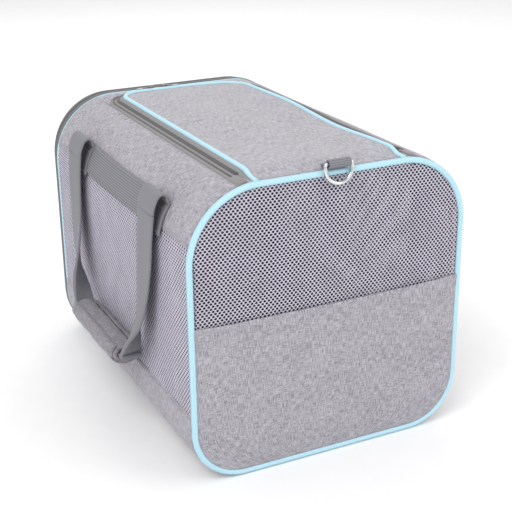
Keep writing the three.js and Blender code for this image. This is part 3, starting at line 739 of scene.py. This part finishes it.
# ------------------------------------------------------------ rear band with the door's zip
def taper(y, up):
    """How far the zip band has pulled in at a depth, half as much where it faces up."""
    return TAPER * (1 - np.maximum(up, 0) / 2) * (y - REAR_Y - 3) / (DOOR_Y - REAR_Y - 3)


def rim_tape(name, t0, t1, y0, y1, material, body, slot, nodes, crown=0.4, outer=3.0, closed=False):
    count = int(abs(t1 - t0) / 5) + 1
    t = np.linspace(t0, t1, count)
    if closed:
        t = t[:-1]
    origins, u, v = rim_frames(t)
    f = np.linspace(0, 1, 7)
    line = y0 + (y1 - y0) * f
    sections = []
    for up in u[:, 2]:
        top = np.stack([outer + crown * np.sin(math.pi * f) - taper(line, up), line], axis=-1)
        low = np.stack([outer - 1.6 - taper(line, up), line], axis=-1)[::-1]
        sections.append(np.concatenate([top, low]))
    piece = sweep(name, origins, u, v, sections, material, closed=closed)
    return belongs(piece, body, slot, *nodes)


T_DOOR = side_at(21)
rim_tape("rear_gusset_cloth", -HALF, HALF, 176.6, 183.1, BINDING, "shell", "binding_grey",
         ["rear_gusset"], 0.9, closed=True)
rim_tape("rear_zip_inner_tape", -T_DOOR, T_DOOR, 183.3, 186.6, TAPE, "shell", "zip_tape",
         ["rear_zip_body_tape"], 0.2, 2.6)
rim_tape("rear_base_gusset_cloth", T_DOOR, 2 * HALF - T_DOOR, 183.2, 195.4, BINDING, "shell",
         "binding_grey", ["rear_bottom_gusset"], 0.0)
rim_tape("rear_zip_outer_tape", -T_DOOR, T_DOOR, 187.4, 190.8, TAPE, "rear_door", "zip_tape",
         ["rear_zip_door_tape"], 0.2, 2.6)
rim_tape("rear_door_gusset_cloth", -T_DOOR, T_DOOR, 191.1, 196.0, BINDING, "rear_door",
         "binding_grey", ["rear_door_gusset"], 0.7)
t = np.linspace(-T_DOOR + 3, T_DOOR - 3, 200)
for name, y, body in (("rear_zip_inner_row", 186.2, "shell"),
                      ("rear_zip_outer_row", 187.9, "rear_door")):
    origins, u, v = rim_frames(t)
    origins = origins + (2.9 - taper(y, u[:, 2:])) * u
    origins[:, 1] = y
    zip_row(name, origins, u, v, body)


# ------------------------------------------------------------ straps and handles
def smooth_path(points, per=8):
    """Catmull-Rom interpolation of rows of numbers."""
    p = np.asarray(points, float)
    p = np.concatenate([[2 * p[0] - p[1]], p, [2 * p[-1] - p[-2]]])
    rows = []
    for i in range(1, len(p) - 2):
        for f in np.arange(per) / per:
            a, b, c, d = p[i - 1:i + 3]
            rows.append(0.5 * (2 * b + (c - a) * f + (2 * a - 5 * b + 4 * c - d) * f ** 2
                               + (3 * b - a - 3 * c + d) * f ** 3))
    rows.append(p[-2])
    return np.array(rows)


# Right-hand leg: centre, direction of the width, and how far the strap is folded lengthwise.
LEG = [
    (151.5, 1, 225, 0.02, 1, 0, 0),
    (153, 3, 195, 0.05, 1, 0, 0),
    (155, 8, 165, 0.12, 1, 0, 0.1),
    (157.5, 15, 138, 0.3, 1, 0.05, 0.35),
    (160, 24, 116, 0.7, 0.7, 0.1, 0.7),
    (160.5, 30, 100, 0.97, 0.25, 0.1, 0.95),
    (160.5, 34.5, 92.6, 1, 0.05, 0, 1),
    (160.5, 39.5, 90, 1, 0, 0, 1),
]
LEG_TOPS = {"front": -123.0, "rear": 84.0}
# Where the webbing is sewn on and folds over: the tail's heights, the fold, the line it turns
# about, and the heights of its seams. The right handle is sewn on lower than the left one.
FOLDS = {
    "left": dict(tail=(side_at(228), top_at(131.5)), base=(149.2, 229.0), way=(33.0, 11.2),
                 seams=(231.0, 250.0),
                 arch=[(134.6, 259.0), (135.6, 263.6), (139.2, 266.2), (143.6, 264.2), (147.0, 258.0),
                       (149.0, 252.0), (149.5, 248.0)]),
    "right": dict(tail=(side_at(214), side_at(238)), base=(149.0, 214.0), way=(31.5, 2.7),
                  seams=(217.0, 234.0),
                  arch=[(143.4, 241.4), (145.3, 244.0), (148.2, 244.6), (150.6, 241.6), (151.6, 237.5),
                        (151.8, 234.0), (151.8, 232.0)]),
}


def frames_along(points, width_way):
    along = np.gradient(points, axis=0)
    along /= np.linalg.norm(along, axis=1)[:, None]
    across = width_way - np.sum(width_way * along, axis=1)[:, None] * along
    across /= np.linalg.norm(across, axis=1)[:, None]
    for i in range(1, len(across)):
        if np.dot(across[i], across[i - 1]) < 0:
            across[i] *= -1
    return along, across, np.cross(along, across)


def handle_strap(side, sign):
    legs = []
    for key, inward in (("front", 1), ("rear", -1)):
        x, z = FOLDS[side]["arch"][-1]
        rows = np.array([(x, 0, z, 0, 1, 0, 0)] + LEG, float)
        rows[:, 1] = LEG_TOPS[key] + inward * rows[:, 1]
        rows[:, 3] *= -1
        rows[:, 5] *= inward
        legs.append(rows)
    rear = legs[1][::-1].copy()
    if rear[0, 3:6] @ legs[0][-1, 3:6] < 0:
        rear[:, 3:6] *= -1
    path = smooth_path(np.concatenate([legs[0], rear]), 7)
    path[:, [0, 3]] *= sign
    points = path[:, :3]
    along, across, normal = frames_along(points, path[:, 3:6])
    fold = np.clip(path[:, 6], 0, 1)
    sections = []
    for f in fold:
        section = rounded_bar(38 + (20 - 38) * f, 2.2 + (4.4 - 2.2) * f)
        cup = 1.0 * math.sin(math.pi * f)
        section[:, 1] += cup * (section[:, 0] / 12) ** 2
        sections.append(section)
    piece = sweep(side + "_handle_strap", points, across, normal, sections, WEB_ACROSS)
    return belongs(piece, side + "_handle", "webbing", side + "_handle_webbing")


def handle_fold(side, sign, key):
    """Webbing sewn on the upper panel that folds over and becomes the handle's leg."""
    y, fold = LEG_TOPS[key], FOLDS[side]
    x, z, nx, nz = rim_at(np.linspace(*fold["tail"], 9))
    tail = np.stack([x + 5.3 * nx, z + 5.3 * nz], axis=-1)
    line = smooth_path(np.concatenate([tail, fold["arch"]]), 5)
    points = np.column_stack([sign * line[:, 0], np.full(len(line), y), line[:, 1]])
    along, across, normal = frames_along(points, np.tile([0.0, 1.0, 0.0], (len(points), 1)))
    piece = sweep(f"{side}_{key}_handle_fold", points, across, normal, rounded_bar(38, 2.2), WEB_ACROSS)
    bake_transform(piece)
    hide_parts(f"{side}_{key}_handle_tail")
    for number, height in enumerate(fold["seams"]):
        s = side_at(height)
        px, pz, qx, qz = (float(v) for v in rim_at(sign * s))
        row = np.array([(px + 6.5 * qx, y + d, pz + 6.5 * qz) for d in np.linspace(-17, 17, 12)])
        stitches(f"{side}_{key}_tail_stitching_{number}", row, (qx, 0, qz), "shell", "webbing", 3.0, 2.2)


def side_band(side, sign):
    """Wide ribbed webbing sewn along the upper panel between the handle's legs."""
    t0, t1 = side_at(258), side_at(232)
    t = np.linspace(t0, t1, 15)
    y = np.linspace(-103.5, 64.5, 40)
    bow = 1.6 * np.sin((y + 103.5) / 168 * math.pi)
    x, z, nx, nz = rim_at(sign * (t[:, None] + bow[None]))
    f = np.linspace(0, 1, 15)[:, None]
    n = 5.7 + 0.5 * np.sin(math.pi * f) + 0.25 * np.sin(y[None] / 21)
    outer = np.stack([x + n * nx, np.broadcast_to(y[None], x.shape), z + n * nz], axis=-1)
    n2 = n - 1.5
    inner = np.stack([x + n2 * nx, np.broadcast_to(y[None], x.shape), z + n2 * nz], axis=-1)
    piece = cloth_sheet(side + "_band_webbing", outer, inner, WEB_ALONG)
    belongs(piece, "shell", "webbing", side + "_handle_band")
    for name, row in (("upper", 1), ("lower", -2)):
        lift = np.stack([nx[row], 0 * nx[row], nz[row]], axis=-1)
        stitches(f"{side}_band_{name}_stitching", outer[row] + 0.2 * lift, lift,
                 "shell", "webbing", 3.2, 2.2)


for sign, side in ((1, "right"), (-1, "left")):
    handle_strap(side, sign)
    side_band(side, sign)
    for key in LEG_TOPS:
        handle_fold(side, sign, key)


# ------------------------------------------------------------ padded grip
def roll(name, a, b, start, stop, thick, y0, y1, body, node, material, pinch=0.0, seed=0.0):
    """Padded cloth rolled round the strap: a thick curved sheet with full, rounded edges."""
    angles = np.radians(np.linspace(start, stop, 44))
    y = np.linspace(y0, y1, 40)
    f = np.linspace(-1, 1, len(y))[None]
    fat = 1 - pinch * np.abs(f) ** 6
    ripple = (0.35 * np.sin(y[None] * 0.11 + 3 * angles[:, None] + seed)
              + 0.22 * np.sin(y[None] * 0.37 + 5 * angles[:, None]))
    edge = np.minimum(np.linspace(0, 1, 44), np.linspace(1, 0, 44))[:, None]
    soft = np.clip(edge * 9, 0, 1) ** 0.5
    extra = ripple * np.clip((1 - np.abs(f)) * 8, 0, 1)
    def ring(reach):
        x = -GRIP_X + (a + reach) * fat * np.cos(angles)[:, None]
        z = GRIP_Z + (b + reach) * fat * np.sin(angles)[:, None]
        return np.stack([x, np.broadcast_to(y[None], x.shape), z], axis=-1)
    outer = ring((thick / 2) * soft + extra)
    inner = ring(-(thick / 2) * soft)
    piece = cloth_sheet(name, outer, inner, material)
    return belongs(piece, body, "grip_fabric", *([node] if node else []))


FLAP_A, FLAP_B = 16.2, 10.9
roll("grip_padding", 13.0, 7.7, 60, 415, 4.0, -83, 44, "left_handle", "grip_wrap", GRIP, 0.03)
roll("grip_dark_lining", 10.5, 4.9, 60, 415, 0.8, -83.6, 44.6, "left_handle", None, LINING_AND_HOLE_SHADE)
roll("grip_outer_flap", FLAP_A, FLAP_B, 128, 282, 2.6, -80, 41, "grip_flap", "grip_flap", GRIP, 0.02, 1.2)
for name, angle in (("flap_edge_stitching", 276), ("flap_top_stitching", 134)):
    c, s = math.cos(math.radians(angle)), math.sin(math.radians(angle))
    x, z = -GRIP_X + (FLAP_A + 1.6) * c, GRIP_Z + (FLAP_B + 1.6) * s
    row = np.array([(x, y, z) for y in np.linspace(-77, 38, 40)])
    stitches(name, row, (c, 0, s), "grip_flap", "grip_fabric", 3.2, 2.2)


# ------------------------------------------------------------ D-ring and its loop
def d_ring(name, eye, lean, body, node):
    half, corner = 13.7, 2.2

    def arc(cx, cz, r, a, b, n):
        turns = np.radians(np.linspace(a, b, n))
        return [(cx + r * math.cos(q), cz + r * math.sin(q)) for q in turns]

    path = arc(half - corner, -corner, corner, 90, 0, 7) + arc(0, -4.5, half, 0, -180, 40)
    path += arc(-half + corner, -corner, corner, 180, 90, 7)
    path += [(x, 0.0) for x in np.linspace(-10.5, 10.5, 7)]
    path = np.array(path)
    turn = Matrix.Rotation(math.radians(lean), 3, "X")
    place = lambda v: np.array(turn @ Vector(v))
    origins = np.array([place((x, 0, z)) for x, z in path]) + [RING_X, *eye]
    along = np.roll(origins, -1, axis=0) - np.roll(origins, 1, axis=0)
    along /= np.linalg.norm(along, axis=1)[:, None]
    side = np.tile(place((0, 1, 0)), (len(origins), 1))
    piece = sweep(name, origins, np.cross(along, side), side, circle(1.8, 14), CHROME, closed=True)
    return belongs(piece, body, "ring_chrome", node)


def ring_loop(name, eye, tail, deck, node):
    """Webbing rolled round the ring's bar, both ends sewn flat on the top."""
    towards = math.copysign(1, tail - eye[0])
    line = [(tail, deck + 1.0), (eye[0] + towards * 8.5, deck + 1.1)]
    for i in range(10):
        angle = math.radians(-62 - i * 27.6)
        line.append((eye[0] + towards * 3.5 * math.cos(angle), eye[1] + 3.5 * math.sin(angle)))
    line += [(eye[0] + towards * 8.5, deck + 3.2), (tail, deck + 2.6)]
    path = smooth_path(line, 5)
    points = np.column_stack([np.full(len(path), RING_X), path])
    along, across, normal = frames_along(points, np.tile([1.0, 0.0, 0.0], (len(points), 1)))
    piece = sweep(name, points, across, normal, rounded_bar(22.5, 1.5), LOOP_WEB)
    row = np.array([(RING_X + d, tail - towards * 4, deck + 3.5) for d in np.linspace(-10, 10, 8)])
    stitches(name + "_stitching", row, (0, 0, 1), "shell", "webbing", 2.8, 2.0)
    return belongs(piece, "shell", "webbing", node)


d_ring("front_ring_metal", (-204.5, 292.0), -6, "front_ring", "front_d_ring")
ring_loop("front_loop_webbing", (-204.5, 292.0), -191.5, 286.2, "front_ring_loop")


# ------------------------------------------------------------ inside: mat
def mat():
    x = np.linspace(-1, 1, 49)
    y = np.linspace(-191, 193.5, 90)
    cx, cy = 94 * x[:, None], y[None]
    reach = np.clip(np.minimum(94 - np.abs(cx), np.minimum(cy + 191, 193.5 - cy)) / 12, 0, 1)
    crown = np.sqrt(reach * (2 - reach))
    tuft = 0.5 * np.sin(cx / 9) * np.sin(cy / 9)
    grid = lambda z: np.stack([np.broadcast_to(cx, z.shape), np.broadcast_to(cy, z.shape), z], axis=-1)
    top = grid(9.0 + crown * 8.2 + reach * tuft)
    low = grid(8.6 - crown * 2.1)
    piece = cloth_sheet("fleece_pad", top, low, FLEECE)
    return belongs(piece, "shell", "fleece", "fleece_mat")


mat()

# ------------------------------------------------------------ CAD pieces that keep their shape
KEPT = {"base_board": BOARD, "front_bow_wire": SLEEVE, "rear_bow_wire": SLEEVE}
for zip_name in ("lid_left", "lid_right", "rear_upper", "rear_lower"):
    KEPT[zip_name + "_slider"] = NICKEL
    KEPT[zip_name + "_pull"] = NICKEL
for node, material in KEPT.items():
    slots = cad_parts[node].data.materials
    slots.clear()
    slots.append(material)


# ------------------------------------------------------------ camera, light and floor
LENS, SENSOR = 79.07, 36.0
CAMERA_AT = (-0.47918, -1.02637, 0.57888)
CAMERA_RIGHT = (0.89703, -0.44180, -0.01205)
CAMERA_UP = (0.17188, 0.32361, 0.93045)
CAMERA_AHEAD = (0.40717, 0.83671, -0.36623)
WORLD_STRENGTH = 0.78
LAMPS = (("key", (-1.6, -1.2, 2.2), 1.6, 34), ("fill", (1.8, -1.8, 1.4), 1.8, 16),
         ("back", (0.6, 1.8, 1.8), 1.6, 14))    # name, place, size and power


def studio():
    camera = bpy.data.objects.new("camera", bpy.data.cameras.new("camera"))
    camera.data.lens = LENS
    camera.data.sensor_width = SENSOR
    right, up, ahead = Vector(CAMERA_RIGHT), Vector(CAMERA_UP), Vector(CAMERA_AHEAD)
    turn = Matrix((right, up, -ahead)).transposed().to_4x4()
    camera.matrix_world = Matrix.Translation(CAMERA_AT) @ turn
    bpy.context.scene.collection.objects.link(camera)
    bpy.context.scene.camera = camera

    mesh = bpy.data.meshes.new("floor")
    mesh.from_pydata([(-6, -6, 0), (6, -6, 0), (6, 6, 0), (-6, 6, 0)], [], [(0, 1, 2, 3)])
    floor = bpy.data.objects.new("floor", mesh)
    floor.location.z = -0.0005
    material = speckled("floor_white", (250, 250, 250), 40.0, 0.9, 0.02, 0.98, 1.0)
    mesh.materials.append(material)
    bpy.context.scene.collection.objects.link(floor)

    bpy.context.scene.view_settings.view_transform = "Standard"
    world = bpy.data.worlds.new("studio")
    world.use_nodes = True
    world.node_tree.nodes["Background"].inputs["Color"].default_value = (1, 1, 1, 1)
    world.node_tree.nodes["Background"].inputs["Strength"].default_value = WORLD_STRENGTH
    bpy.context.scene.world = world
    for name, spot, size, power in LAMPS:
        lamp = bpy.data.lights.new(name, "AREA")
        lamp.size = size
        lamp.energy = power
        ob = bpy.data.objects.new(name, lamp)
        ob.location = spot
        ob.rotation_euler = (Vector((0, 0, 0.15)) - Vector(spot)).to_track_quat("-Z", "Y").to_euler()
        bpy.context.scene.collection.objects.link(ob)


studio()
